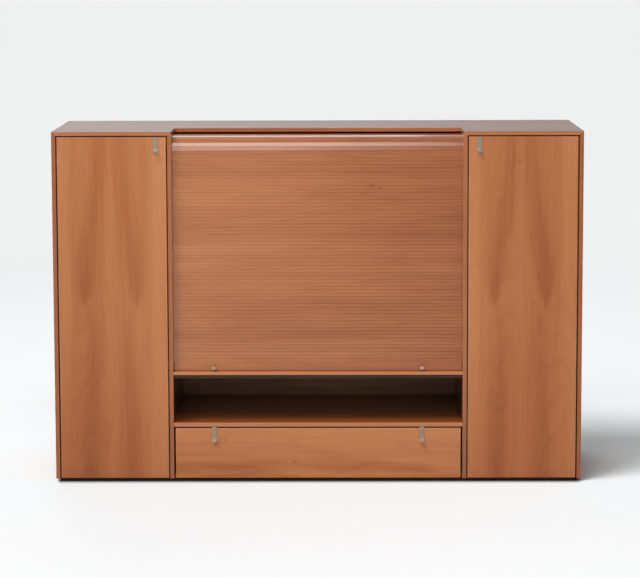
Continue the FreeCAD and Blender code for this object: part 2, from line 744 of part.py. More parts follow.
def build():
    fill_sheet()
    for side in SIDES:
        side_panel(side)
        partition(side)
    top_panel()
    bottom_panels()
    decks()
    back_panels()
    plinth()
    shelves()
    hole = "pin_hole_depth"
    shelf_pins("shelf_pins_left", ["-side_inner - " + hole, "-partition_outer - pin_reach"],
               ["low_shelf", "high_shelf"])
    shelf_pins("shelf_pins_right", ["partition_outer - " + hole, "side_inner - pin_reach"],
               ["low_shelf", "high_shelf"])
    shelf_pins("shelf_pins_middle", ["-partition_inner - " + hole, "partition_inner - pin_reach"],
               ["middle_shelf"])
    curtain_front()
    curtain_shoulder()
    curtain_rail()
    knobs()
    for side, sign in SIDES.items():
        door(side)
        pivots(side)
        catches(side)
        pull("pull_door_" + side, "%d * door_pull_x" % sign, "door_top")
        pull("pull_drawer_" + side, "%d * drawer_pull_x" % sign, "drawer_top + drawer_pull_rise")
        runners(side)
    drawer()
    doc.recompute()


def check():
    """Stop before writing anything when an object failed or a sub-part is not a sound solid."""
    for item in doc.Objects:
        if "Invalid" in item.State or "Error" in item.State:
            raise RuntimeError("failed: " + item.Label)
    for piece in pieces:
        if piece.Shape.isNull() or not piece.Shape.isValid() or not piece.Shape.Solids:
            raise RuntimeError("no sound solid: " + piece.Label)


def export():
    os.makedirs("parts", exist_ok=True)
    for piece in pieces:
        piece.Shape.exportStep("parts/%s.step" % piece.Label)


build()
check()
export()
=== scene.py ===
import json
import math

import bpy
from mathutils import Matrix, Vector

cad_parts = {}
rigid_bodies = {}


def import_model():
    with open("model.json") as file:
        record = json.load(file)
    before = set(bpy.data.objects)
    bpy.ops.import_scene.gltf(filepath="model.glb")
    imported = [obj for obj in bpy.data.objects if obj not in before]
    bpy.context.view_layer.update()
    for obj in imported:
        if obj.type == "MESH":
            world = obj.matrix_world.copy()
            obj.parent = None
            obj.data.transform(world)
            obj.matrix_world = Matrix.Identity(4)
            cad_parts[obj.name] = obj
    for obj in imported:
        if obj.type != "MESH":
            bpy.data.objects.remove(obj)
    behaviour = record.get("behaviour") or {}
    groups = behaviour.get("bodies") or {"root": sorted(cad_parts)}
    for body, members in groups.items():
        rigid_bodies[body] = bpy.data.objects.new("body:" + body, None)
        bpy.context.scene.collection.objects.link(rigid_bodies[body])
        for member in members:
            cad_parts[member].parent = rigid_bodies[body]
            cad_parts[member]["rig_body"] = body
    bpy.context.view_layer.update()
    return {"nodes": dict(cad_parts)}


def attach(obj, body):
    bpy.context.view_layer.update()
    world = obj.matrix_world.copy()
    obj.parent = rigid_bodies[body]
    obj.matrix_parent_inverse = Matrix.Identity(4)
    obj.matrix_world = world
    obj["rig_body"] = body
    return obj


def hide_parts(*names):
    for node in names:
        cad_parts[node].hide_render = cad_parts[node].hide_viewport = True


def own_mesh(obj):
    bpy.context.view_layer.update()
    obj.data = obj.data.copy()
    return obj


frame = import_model()

# Places shared by several pieces, the same as in the solids.
FRONT = -0.244                  # the fronts of the doors and boards
HEIGHT = 1.205
BOARD = 0.014
BAY = 0.494                     # half the clear width of the middle bay
SIDE_INNER = 0.886              # the inner faces of the side panels
DOOR_TOP = 1.187
NICHE_LOW = 0.2046              # just inside the open niche
NICHE_HIGH = 0.3714
PLINTH_MIDDLE = 0.006
PLINTH_HALF_WIDTH = 0.884
PLINTH_HALF_DEPTH = 0.234

# The shutter: slats with a gap between them, a bottom rail, and the centre of the quarter turn.
SLAT_HALF = 0.500
SLAT_PITCH = 0.0119
SLAT_GAP = 0.00024
SLAT_COUNT = 61
TURN_SLATS = 5
FLAT_SLATS = 11
SLAT_FACE = FRONT + 0.020
SLAT_BACK = SLAT_FACE + 0.009
CANVAS_BACK = SLAT_FACE + 0.010
RAIL_BOTTOM = 0.3815
RAIL_TOP = 0.412222
TURN_Y = FRONT + 0.066878
TURN_Z = 1.138122

# Knobs and pulls.
KNOB_X = 0.356
KNOB_Z = 0.3945
KNOB_ROSE = 0.0052
DOOR_PULL_X = 0.547
DRAWER_PULL_X = 0.355
DRAWER_PULL_TOP = 0.192
PULL_WIDE = 0.016
PULL_THICK = 0.002
PULL_STRAIGHT = 0.036947
PULL_RADIUS = 0.020

# Holes for the shelf pins: the levels of the shelves, and six spare holes round each.
LOW_PINS = 0.38455
HIGH_PINS = 0.77655
MIDDLE_PINS = 0.75755
PIN_COLUMNS = (FRONT + 0.070, FRONT + 0.420)
PIN_STEP = 0.032
SLEEVE_RADIUS = 0.0034
SLEEVE_THICK = 0.0003

# How far sanding breaks the edges of a board, and of a back panel.
ARRIS = 0.0008
BACK_ARRIS = 0.0012

# Thin layers that only the finishes show.
LIPPING = 0.0012
PLY_LAYER = 0.0027
WEAVE = 0.0012


# ---------------------------------------------------------------- working with meshes

def clear():
    bpy.ops.object.select_all(action="DESELECT")


def take(name):
    """The primitive just added, with its place moved into its mesh."""
    piece = bpy.context.object
    bpy.ops.object.transform_apply(location=True, rotation=True, scale=True)
    piece.name = name
    piece.data.name = name
    return piece


def edit(piece, mode="FACE"):
    clear()
    piece.select_set(True)
    bpy.context.view_layer.objects.active = piece
    bpy.ops.object.mode_set(mode="EDIT")
    bpy.ops.mesh.select_mode(type=mode)
    bpy.ops.mesh.select_all(action="DESELECT")


def leave():
    bpy.ops.object.mode_set(mode="OBJECT")


def pick(piece, test, kind="polygons"):
    """Selects the faces or edges that pass a test, and goes on in edit mode."""
    bpy.ops.object.mode_set(mode="OBJECT")
    for item in getattr(piece.data, kind):
        item.select = bool(test(item))
    bpy.ops.object.mode_set(mode="EDIT")


def ends(piece, edge):
    return [piece.data.vertices[i].co for i in edge.vertices]


def smooth(piece, degrees=35):
    """Rounded edges shade smoothly, and the large faces between them stay flat."""
    clear()
    piece.select_set(True)
    bpy.context.view_layer.objects.active = piece
    bpy.ops.object.shade_smooth_by_angle(angle=math.radians(degrees))
    even = piece.modifiers.new("even", "WEIGHTED_NORMAL")
    even.keep_sharp = True
    even.weight = 100
    bpy.ops.object.modifier_apply(modifier="even")


def block(name, low, high):
    """A block between two corners, ready to be shaped."""
    clear()
    middle = [(a + b) / 2 for a, b in zip(low, high)]
    size = [b - a for a, b in zip(low, high)]
    bpy.ops.mesh.primitive_cube_add(size=1, location=middle, scale=size)
    return take(name)


def ease(piece, width, steps=2, shortest=0.008, slot=0):
    """Breaks the long sharp edges of a board, as a sanding block does."""
    edit(piece, "EDGE")
    bpy.ops.mesh.edges_select_sharp(sharpness=math.radians(40))
    bpy.ops.object.mode_set(mode="OBJECT")
    for line in piece.data.edges:
        a, b = ends(piece, line)
        line.select = line.select and (a - b).length > shortest
    bpy.ops.object.mode_set(mode="EDIT")
    bpy.ops.mesh.bevel(offset=width, segments=steps, affect="EDGES", material=slot)
    leave()
    smooth(piece)


def eased_board(node, finish, width=ARRIS, shortest=0.008):
    """A board with the node's own cut-outs, its long edges broken."""
    clear()
    piece = frame["nodes"][node].copy()
    piece.data = piece.data.copy()
    for key in list(piece.keys()):
        if key.startswith("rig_"):
            del piece[key]
    piece.parent = None
    bpy.context.scene.collection.objects.link(piece)
    piece.name = node + "_board"
    edit(piece)
    bpy.ops.mesh.select_all(action="SELECT")
    bpy.ops.mesh.remove_doubles(threshold=0.00001)
    bpy.ops.mesh.dissolve_limited(angle_limit=math.radians(0.5))
    leave()
    ease(piece, width, shortest=shortest)
    dress(piece, finish)
    place(piece, node)
    return piece


def dress(piece, *finishes):
    piece.data.materials.clear()
    for finish in finishes:
        piece.data.materials.append(finish)


def place(piece, node):
    """The piece stands for a node and moves with the node's body."""
    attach(piece, frame["nodes"][node]["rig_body"])
    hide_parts(node)


# ---------------------------------------------------------------- mixing finishes

def srgb(red, green, blue):
    """A colour as it is picked on a screen, from 0 to 255."""
    def light(value):
        value /= 255
        return value / 12.92 if value <= 0.04045 else ((value + 0.055) / 1.055) ** 2.4
    return (light(red), light(green), light(blue), 1.0)


class Finish:
    """One finish, mixed from nodes."""

    def __init__(self, name):
        self.material = bpy.data.materials.new(name)
        self.material.use_nodes = True
        self.tree = self.material.node_tree
        self.tree.nodes.clear()

    def add(self, kind, inputs=(), **settings):
        node = self.tree.nodes.new(kind)
        for key, value in settings.items():
            setattr(node, key, value)
        for key, value in dict(inputs).items():
            if isinstance(value, bpy.types.NodeSocket):
                self.tree.links.new(value, node.inputs[key])
            else:
                node.inputs[key].default_value = value
        return node

    def calc(self, operation, a, b=0.0, c=0.0, clamp=False):
        node = self.add("ShaderNodeMath", {0: a, 1: b, 2: c}, operation=operation)
        node.use_clamp = clamp
        return node.outputs[0]

    def squares(self, a, b):
        """a squared plus b squared."""
        return self.calc("MULTIPLY_ADD", a, a, self.calc("MULTIPLY", b, b))

    def split(self, vector):
        return self.add("ShaderNodeSeparateXYZ", {0: vector}).outputs

    def space(self, order, shift=(0, 0, 0)):
        """Object coordinates put in the order across, depth, along the grain."""
        parts = self.split(self.add("ShaderNodeTexCoord").outputs["Object"])
        return [self.calc("ADD", parts[axis], move) for axis, move in zip(order, shift)]

    def vector(self, parts, scale=(1, 1, 1)):
        merged = self.add("ShaderNodeCombineXYZ", dict(enumerate(parts)))
        return self.add("ShaderNodeVectorMath", {0: merged.outputs[0], 1: scale},
                        operation="MULTIPLY").outputs[0]

    def noise(self, vector, scale=1.0, detail=2.0, rough=0.5, twist=0.0):
        return self.add("ShaderNodeTexNoise", {
            "Vector": vector, "Scale": scale, "Detail": detail,
            "Roughness": rough, "Distortion": twist}).outputs["Fac"]

    def stretch(self, value, low, high, new_low=0.0, new_high=1.0, smoothly=False):
        kind = "SMOOTHSTEP" if smoothly else "LINEAR"
        return self.add("ShaderNodeMapRange", {
            "Value": value, "From Min": low, "From Max": high,
            "To Min": new_low, "To Max": new_high}, interpolation_type=kind,
            clamp=True).outputs[0]

    def ramp(self, value, stops, kind="LINEAR"):
        node = self.add("ShaderNodeValToRGB", {0: value})
        ramp = node.color_ramp
        ramp.interpolation = kind
        while len(ramp.elements) < len(stops):
            ramp.elements.new(0.5)
        for element, (position, colour) in zip(ramp.elements, stops):
            element.position = position
            element.color = colour
        return node.outputs[0]

    def curve(self, value, points):
        """A drawn line through points from (0, y) to (1, y)."""
        node = self.add("ShaderNodeFloatCurve", {"Value": value})
        line = node.mapping.curves[0]
        while len(line.points) < len(points):
            line.points.new(0.5, 0.5)
        for point, where in zip(line.points, points):
            point.location = where
        node.mapping.update()
        return node.outputs[0]

    def mix(self, share, a, b, blend="MIX"):
        node = self.add("ShaderNodeMix", data_type="RGBA", blend_type=blend)
        for key, value in ((0, share), (6, a), (7, b)):
            if isinstance(value, bpy.types.NodeSocket):
                self.tree.links.new(value, node.inputs[key])
            else:
                node.inputs[key].default_value = value
        return node.outputs[2]

    def bump(self, height, strength, depth):
        return self.add("ShaderNodeBump", {
            "Height": height, "Strength": strength, "Distance": depth}).outputs[0]

    def close(self, colour, rough, normal=None, **shader):
        inputs = {"Base Color": colour, "Roughness": rough}
        inputs.update({key.replace("_", " "): value for key, value in shader.items()})
        if normal is not None:
            inputs["Normal"] = normal
        skin = self.add("ShaderNodeBsdfPrincipled", inputs)
        self.add("ShaderNodeOutputMaterial", {"Surface": skin.outputs[0]})
        return self.material


UPRIGHT = (0, 1, 2)       # seen from the front, grain upright
CROSSWISE = (2, 1, 0)     # seen from the front, grain along X
FLAT = (1, 2, 0)          # lying board, grain along X
SIDE = (1, 0, 2)          # seen from the side, grain upright

CHERRY = [
    (0.00, srgb(88, 38, 12)),
    (0.20, srgb(124, 62, 24)),
    (0.40, srgb(155, 87, 44)),
    (0.50, srgb(168, 101, 57)),
    (0.62, srgb(181, 115, 70)),
    (0.80, srgb(198, 134, 88)),
    (1.00, srgb(215, 154, 108)),
]


def cherry(name, order, shift=(0, 0, 0), tone=0.0, figure_and_shade=None, contrast=1.0, gloss=0.40,
           lacquer=0.3, sheen=0.2, shine=0.2, niche=None, worn=True):
    """Lacquered cherry veneer. figure draws the leaf's own bands, and on some boards painted
    light and shade, and returns a tone; niche holds the painted shade inside the open niche,
    front to back; worn rubs the arrises."""
    mixer = Finish(name)
    parts = mixer.space(order, shift)
    across, depth, along = parts
    wander = mixer.noise(mixer.vector(parts, (5.0, 5.0, 1.3)), detail=3.0)
    wander = mixer.calc("MULTIPLY_ADD", wander, 0.050, -0.025)
    leaf = [mixer.calc("ADD", across, wander), depth, along]
    broad = mixer.noise(mixer.vector(leaf, (7.0, 7.0, 0.8)), detail=2.0)
    growth = mixer.noise(mixer.vector(leaf, (4.6, 4.6, 0.5)), detail=1.5)
    growth = mixer.calc("FRACT", mixer.calc("MULTIPLY", growth, 30.0))
    growth = mixer.calc("POWER", growth, 3.0)
    bands = mixer.noise(mixer.vector(leaf, (34.0, 34.0, 1.1)), detail=3.0, rough=0.55)
    streaks = mixer.noise(mixer.vector(leaf, (190.0, 190.0, 4.0)), detail=4.0, rough=0.6)
    fibres = mixer.noise(mixer.vector(leaf, (1500.0, 1500.0, 26.0)), detail=2.0)
    fleck = mixer.noise(mixer.vector(leaf, (900.0, 900.0, 60.0)), detail=1.0)
    fleck = mixer.stretch(fleck, 0.66, 0.80)
    value = mixer.calc("MULTIPLY_ADD", broad, 0.34 * contrast, 0.52 + tone - 0.17 * contrast)
    value = mixer.calc("MULTIPLY_ADD", mixer.calc("MULTIPLY", growth, streaks), -0.08, value)
    value = mixer.calc("MULTIPLY_ADD", bands, 0.22 * contrast, mixer.calc(
        "SUBTRACT", value, 0.11 * contrast))
    value = mixer.calc("MULTIPLY_ADD", streaks, 0.16, mixer.calc("SUBTRACT", value, 0.08))
    value = mixer.calc("MULTIPLY_ADD", fibres, 0.09, mixer.calc("SUBTRACT", value, 0.045))
    value = mixer.calc("MULTIPLY_ADD", fleck, -0.10, value)
    if figure_and_shade:
        value = mixer.calc("ADD", value, figure_and_shade(mixer, wander))
    rough = mixer.calc("MULTIPLY_ADD", streaks, 0.10, gloss - 0.05)
    if worn:
        rubbed = arris(mixer, parts)
        value = mixer.calc("MULTIPLY_ADD", rubbed, 0.13, value)
        rough = mixer.calc("MULTIPLY_ADD", rubbed, 0.12, rough)
    colour = mixer.ramp(value, CHERRY)
    # Painted shade: inside the open niche the colour is multiplied by a darker ramp from front to
    # back.
    if niche:
        inwards = mixer.stretch(mixer.space(UPRIGHT)[1], FRONT + 0.054, FRONT + 0.384)
        niche_painted_shade = mixer.mix(1.0, colour, mixer.ramp(inwards, niche), "MULTIPLY")
        colour = mixer.mix(inside_niche(mixer), colour, niche_painted_shade)
    pores = mixer.calc("MULTIPLY_ADD", fleck, -0.7, fibres)
    return mixer.close(colour, rough, mixer.bump(pores, 0.12, 0.0003),
                       Specular_IOR_Level=shine, Coat_Weight=lacquer, Coat_Roughness=sheen)


def arris(mixer, parts):
    """Where the broken edges are rubbed: 1 on them, in patches, and 0 on the flat faces."""
    facing = mixer.split(mixer.add("ShaderNodeTexCoord").outputs["Normal"])
    flat = mixer.calc("MAXIMUM", mixer.calc("ABSOLUTE", facing[0]),
                      mixer.calc("ABSOLUTE", facing[1]))
    flat = mixer.calc("MAXIMUM", flat, mixer.calc("ABSOLUTE", facing[2]))
    edge = mixer.stretch(flat, 0.995, 0.93)
    patch = mixer.noise(mixer.vector(parts, (22.0, 22.0, 6.0)), detail=3.0)
    return mixer.calc("MULTIPLY", edge, mixer.stretch(patch, 0.35, 0.62, 0.25, 1.0))


def inside_niche(mixer):
    """1 on the faces round the open niche, behind the broken front edges, where the painted niche
    shade goes, and 0 elsewhere.
    """
    x, y, z = mixer.space(UPRIGHT)
    within = mixer.calc("LESS_THAN", mixer.calc("ABSOLUTE", x), BAY + 0.0004)
    within = mixer.calc("MULTIPLY", within, mixer.calc("GREATER_THAN", z, NICHE_LOW))
    within = mixer.calc("MULTIPLY", within, mixer.calc("LESS_THAN", z, NICHE_HIGH))
    return mixer.calc("MULTIPLY", within, mixer.calc("GREATER_THAN", y, FRONT + 0.0016))


# ---------------------------------------------------------------- figures of the matched leaves, and painted light and shade

def door_leaf_and_painted_shade(axis, foot_shade, left, right, corner=0.0, pins=()):
    """Two mirrored leaves: bands that spread downwards to a dark tip, then painted shade that
    darkens the lower part and painted light that lightens the top. left and right are the tones
    of the two edges, and corner that of the lower right corner; pins places small knots."""
    def draw(mixer, wander):
        x, _, z = mixer.space(UPRIGHT)
        ragged = mixer.calc("MULTIPLY_ADD", wander, 0.45, mixer.calc("SUBTRACT", x, axis))
        u = mixer.calc("ABSOLUTE", ragged)
        height = mixer.stretch(z, 0.0, HEIGHT)
        centre = mixer.curve(height, [
            (0.00, 0.74), (0.20, 0.72), (0.44, 0.62), (0.52, 0.86), (0.60, 0.82),
            (0.75, 0.60), (0.90, 0.36), (1.00, 0.28)])
        strength = mixer.curve(height, [
            (0.00, 0.46), (0.14, 0.42), (0.30, 0.32), (0.44, 0.20), (0.49, 0.18),
            (0.54, 0.62), (0.62, 0.48), (0.80, 0.36), (1.00, 0.32)])
        width = mixer.curve(height, [
            (0.00, 0.95), (0.30, 0.90), (0.46, 0.60), (0.505, 0.30), (0.535, 0.52),
            (0.60, 0.80), (0.75, 0.95), (1.00, 1.00)])
        off = mixer.calc("SUBTRACT", u, mixer.calc("MULTIPLY", centre, 0.1))
        off = mixer.calc("DIVIDE", off, mixer.calc("MULTIPLY", width, 0.034))
        off = mixer.calc("MULTIPLY", off, off)
        band = mixer.calc("EXPONENT", mixer.calc("MULTIPLY", off, -1.0))
        dark = mixer.calc("MULTIPLY", band, strength)
        edge = mixer.stretch(u, 0.115, 0.165, smoothly=True)
        edge = mixer.calc("MULTIPLY", edge, mixer.stretch(z, 0.0, 0.7, 0.01, 0.09))
        heart = mixer.stretch(u, 0.0, 0.028, 0.04, 0.0, smoothly=True)
        # Painted shade: darker towards the floor; painted light: a little lighter towards the
        # top.
        fall = mixer.stretch(z, 0.0, 0.6, foot_shade, 0.0)
        fall = mixer.calc("ADD", fall, mixer.stretch(z, 0.6, 1.15, 0.0, 0.03))
        value = mixer.calc("MULTIPLY_ADD", dark, -0.24, edge)
        value = mixer.calc("ADD", value, heart)
        lean = mixer.stretch(mixer.calc("SUBTRACT", x, axis), -0.19, 0.19, left, right)
        value = mixer.calc("ADD", value, lean)
        low = mixer.calc("MULTIPLY", mixer.stretch(z, 0.25, 0.75, 1.0, 0.0, smoothly=True),
                         mixer.stretch(mixer.calc("SUBTRACT", x, axis), 0.02, 0.19))
        value = mixer.calc("MULTIPLY_ADD", low, corner, value)
        value = mixer.calc("SUBTRACT", value, knots(mixer, x, z, pins, 0.14))
        return mixer.calc("ADD", value, fall)
    return draw


def shutter_leaf_and_painted_shade(mixer, wander):
    """Long lying bands, a matched joint in the middle and a pair of small knots. Painted light
    and shade: lighter at the left, darker at the right, and darker on the shoulder."""
    x, _, z = mixer.space(UPRIGHT)
    parts = [mixer.calc("ADD", mixer.calc("ABSOLUTE", mixer.calc("SUBTRACT", x, 0.006)), 3.0),
             mixer.calc("ADD", z, mixer.calc("MULTIPLY", wander, 0.5))]
    lying = mixer.vector([parts[0], 0.0, parts[1]], (0.9, 1.0, 9.0))
    bands = mixer.noise(lying, detail=3.0, rough=0.6)
    value = mixer.calc("MULTIPLY_ADD", bands, 0.34, -0.17)
    # Painted light and shade: lighter at the left, darker at the right.
    turn = mixer.stretch(x, -0.5, 0.5, 0.06, -0.12)
    value = mixer.calc("ADD", value, turn)
    corner = mixer.calc("MULTIPLY", mixer.stretch(x, 0.15, 0.5), mixer.stretch(z, 0.85, 1.12))
    value = mixer.calc("MULTIPLY_ADD", corner, 0.08, value)
    # Painted shade: the slats on the shoulder, which face up, are darker.
    value = mixer.calc("ADD", value, mixer.stretch(z, TURN_Z - 0.01, TURN_Z + 0.01, 0.0, -0.14))
    pair = knots(mixer, x, z, [(0.185, 1.017), (0.213, 1.010)], 0.17)
    return mixer.calc("SUBTRACT", value, pair)


def drawer_leaf(mixer, wander):
    """Lying clouds that darken the lower half, a lighter top and one small knot."""
    x, _, z = mixer.space(UPRIGHT)
    fall = mixer.stretch(z, 0.105, 0.186, 0.002, 0.115)
    cloud = mixer.noise(mixer.vector([x, mixer.calc("ADD", z, wander), 0.0], (3.2, 17.0, 1.0)),
                        detail=3.0)
    low = mixer.stretch(z, 0.13, 0.05, smoothly=True)
    cloud = mixer.calc("MULTIPLY", mixer.stretch(cloud, 0.42, 0.66, 0.0, 0.14), low)
    fall = mixer.calc("SUBTRACT", fall, cloud)
    return mixer.calc("SUBTRACT", fall, knots(mixer, x, z, [(-0.080, 0.069)], 0.2))


def lipping_and_painted_shade(outside, foot_shade, upper_face_shade=0.0, turn=0.0):
    """The strip glued on a board's front edge differs from its faces by a tone, and painted shade
    darkens it by foot near the floor and by turn at the right. upper_face_shade is painted shade
    on the faces that look up."""
    def draw(mixer, wander):
        x, y, z = mixer.space(UPRIGHT)
        front = mixer.calc("LESS_THAN", y, FRONT + LIPPING)
        # Painted shade: darker near the floor and towards the right.
        tone = mixer.calc("ADD", mixer.stretch(z, 0.05, 0.42, foot_shade, 0.0, smoothly=True), outside)
        tone = mixer.calc("ADD", tone, mixer.stretch(x, -BAY, BAY, 0.0, turn))
        tone = mixer.calc("MULTIPLY", front, tone)
        up = mixer.split(mixer.add("ShaderNodeNewGeometry").outputs["Normal"])[2]
        # Painted shade on the faces that look up.
        return mixer.calc("MULTIPLY_ADD", mixer.calc("GREATER_THAN", up, 0.7), upper_face_shade, tone)
    return draw


def rail_painted_light(mixer, wander):
    """Painted light: lighter at the left end of the rail than at the right."""
    x = mixer.space(UPRIGHT)[0]
    return mixer.stretch(x, -0.5, 0.5, 0.07, -0.08)


def knots(mixer, x, z, places, depth):
    """Small pin knots with a darker eye."""
    total = 0.0
    for where_x, where_z in places:
        dx = mixer.calc("DIVIDE", mixer.calc("SUBTRACT", x, where_x), 0.0075)
        dz = mixer.calc("DIVIDE", mixer.calc("SUBTRACT", z, where_z), 0.0046)
        eye = mixer.calc("EXPONENT", mixer.calc("MULTIPLY", mixer.squares(dx, dz), -1.0))
        total = mixer.calc("MULTIPLY_ADD", eye, depth, total)
    return total


# ---------------------------------------------------------------- the other finishes

def dark_lining(name, dark, light):
    """A dark lying grain for what stands in the shade of the niche."""
    mixer = Finish(name)
    parts = mixer.space(CROSSWISE)
    grain = mixer.noise(mixer.vector(parts, (60.0, 60.0, 2.0)), detail=4.0)
    fine = mixer.noise(mixer.vector(parts, (700.0, 700.0, 20.0)), detail=2.0)
    value = mixer.calc("MULTIPLY_ADD", fine, 0.4, mixer.calc("MULTIPLY", grain, 0.6))
    colour = mixer.ramp(value, [(0.25, dark), (0.75, light)])
    return mixer.close(colour, mixer.calc("MULTIPLY_ADD", value, 0.2, 0.42),
                       mixer.bump(fine, 0.1, 0.0003), Specular_IOR_Level=0.3)


def black_laminate():
    """The plinth's laminate, with a fine peel and low scuffs."""
    mixer = Finish("black_laminate")
    parts = mixer.space(UPRIGHT)
    peel = mixer.noise(mixer.vector(parts), scale=900.0, detail=2.0)
    scuff = mixer.noise(mixer.vector(parts, (4.0, 4.0, 30.0)), detail=5.0, rough=0.7)
    colour = mixer.ramp(scuff, [(0.35, srgb(24, 17, 13)), (0.75, srgb(42, 31, 25))])
    return mixer.close(colour, mixer.stretch(scuff, 0.3, 0.8, 0.48, 0.66),
                       mixer.bump(peel, 0.25, 0.0002))


def black_plastic():
    """Moulded black with a spark-eroded grain."""
    mixer = Finish("black_moulded")
    parts = mixer.space(UPRIGHT)
    grain = mixer.noise(mixer.vector(parts), scale=1600.0, detail=2.0)
    cloud = mixer.noise(mixer.vector(parts), scale=40.0, detail=3.0)
    colour = mixer.ramp(cloud, [(0.3, srgb(22, 22, 23)), (0.8, srgb(38, 37, 37))])
    return mixer.close(colour, mixer.stretch(cloud, 0.3, 0.8, 0.38, 0.52),
                       mixer.bump(grain, 0.35, 0.0001))


def satin_metal(name="satin_nickel", along=2, light=srgb(180, 159, 141), dark=srgb(150, 132, 116),
                rough=(0.58, 0.70)):
    """Nickel drawn through an abrasive belt along one axis."""
    mixer = Finish(name)
    parts = mixer.space(UPRIGHT)
    scale = [2600.0] * 3
    scale[along] = 60.0
    lines = mixer.noise(mixer.vector(parts, tuple(scale)), detail=3.0)
    cloud = mixer.noise(mixer.vector(parts), scale=90.0, detail=2.0)
    value = mixer.calc("MULTIPLY_ADD", lines, 0.6, mixer.calc("MULTIPLY", cloud, 0.4))
    colour = mixer.ramp(value, [(0.3, dark), (0.7, light)])
    return mixer.close(colour, mixer.stretch(lines, 0.3, 0.7, *rough),
                       mixer.bump(lines, 0.10, 0.0001), Metallic=1.0)


def zinc_steel(name="zinc_plated", dark=srgb(150, 152, 154), light=srgb(196, 198, 198),
               capped=False):
    """Zinc-plated steel. capped blackens the front end, where a runner has a moulded stop."""
    mixer = Finish(name)
    parts = mixer.space(UPRIGHT)
    flowers = mixer.add("ShaderNodeTexVoronoi", {
        "Vector": mixer.vector(parts), "Scale": 420.0}).outputs["Color"]
    cloud = mixer.noise(mixer.vector(parts), scale=70.0, detail=4.0)
    tint = mixer.ramp(cloud, [(0.3, dark), (0.7, light)])
    colour = mixer.mix(0.12, tint, flowers, "SOFT_LIGHT")
    rough = mixer.stretch(cloud, 0.3, 0.7, 0.30, 0.46)
    if not capped:
        return mixer.close(colour, rough, Metallic=1.0)
    cap = mixer.calc("LESS_THAN", mixer.space(UPRIGHT)[1], FRONT + 0.027)
    colour = mixer.mix(cap, colour, srgb(24, 20, 18))
    return mixer.close(colour, mixer.calc("MULTIPLY_ADD", cap, 0.2, rough),
                       Metallic=mixer.calc("SUBTRACT", 1.0, cap))


def birch_ply(name, thickness_axis, start):
    """Birch plywood: pale faces, and layers that show on its edges."""
    mixer = Finish(name)
    order = {0: (2, 0, 1), 1: (2, 1, 0), 2: (1, 2, 0)}[thickness_axis]
    parts = mixer.space(order)
    streaks = mixer.noise(mixer.vector(parts, (90.0, 90.0, 3.0)), detail=4.0)
    fibres = mixer.noise(mixer.vector(parts, (1200.0, 1200.0, 30.0)), detail=2.0)
    value = mixer.calc("MULTIPLY_ADD", fibres, 0.35, mixer.calc("MULTIPLY", streaks, 0.65))
    face = mixer.ramp(value, [(0.25, srgb(203, 172, 130)), (0.75, srgb(228, 203, 164))])
    deep = mixer.calc("SUBTRACT", parts[1], start)
    layer = mixer.calc("FRACT", mixer.calc("MULTIPLY", deep, 1 / PLY_LAYER))
    stripes = mixer.ramp(layer, [
        (0.00, srgb(176, 140, 98)), (0.46, srgb(184, 148, 104)), (0.52, srgb(122, 88, 58)),
        (0.56, srgb(216, 188, 146)), (0.96, srgb(222, 196, 156)), (1.00, srgb(122, 88, 58))])
    facing = mixer.split(mixer.add("ShaderNodeNewGeometry").outputs["Normal"])[thickness_axis]
    on_edge = mixer.stretch(mixer.calc("ABSOLUTE", facing), 0.4, 0.6, 1.0, 0.0)
    colour = mixer.mix(on_edge, face, stripes)
    return mixer.close(colour, mixer.calc("MULTIPLY_ADD", fibres, 0.15, 0.42),
                       mixer.bump(fibres, 0.1, 0.0002))


def canvas_cloth():
    """Black canvas behind the slats, woven at about a millimetre."""
    mixer = Finish("curtain_canvas")
    x, y, z = mixer.space(UPRIGHT)
    warp = mixer.calc("SINE", mixer.calc("MULTIPLY", x, 2 * math.pi / WEAVE))
    weft = mixer.calc("SINE", mixer.calc("MULTIPLY", z, 2 * math.pi / WEAVE))
    weave = mixer.calc("MULTIPLY", warp, weft)
    dust = mixer.noise(mixer.vector([x, y, z]), scale=18.0, detail=5.0)
    value = mixer.calc("MULTIPLY_ADD", weave, 0.2, dust)
    colour = mixer.ramp(value, [(0.2, srgb(44, 32, 25)), (0.8, srgb(72, 54, 43))])
    return mixer.close(colour, 0.85, mixer.bump(weave, 0.4, 0.0003), Sheen_Weight=0.15)


# ---------------------------------------------------------------- finishes of this object

# The doors: leaf figures, with painted shade towards the floor and painted light at the top.
door_left_veneer = cherry("cherry_door_left", UPRIGHT, (3.1, 0.4, 0.9), tone=-0.01,
                          figure_and_shade=door_leaf_and_painted_shade(-0.707, foot_shade=-0.10, left=-0.01, right=0.07,
                                           corner=0.03),
                          contrast=0.5)
door_right_veneer = cherry("cherry_door_right", UPRIGHT, (5.7, 0.4, 0.9), tone=-0.05,
                           figure_and_shade=door_leaf_and_painted_shade(0.690, foot_shade=-0.045, left=0.06, right=0.0,
                                            corner=0.06, pins=[(0.685, 1.101)]), contrast=0.5)
shutter_veneer = cherry("cherry_slats", CROSSWISE, (2.0, 0.0, 7.0), tone=0.0,
                        figure_and_shade=shutter_leaf_and_painted_shade, contrast=0.9, lacquer=1.0, sheen=0.16, shine=0.1,
                        worn=False)
drawer_veneer = cherry("cherry_drawer", CROSSWISE, (4.0, 0.0, 1.0), tone=0.015,
                       figure_and_shade=drawer_leaf, contrast=0.9)
# The side panels: painted shade near the floor on the front edges.
upright_veneer = cherry("cherry_upright", SIDE, (1.0, 0.0, 2.0), tone=-0.04,
                        figure_and_shade=lipping_and_painted_shade(-0.10, -0.06), shine=0.4)
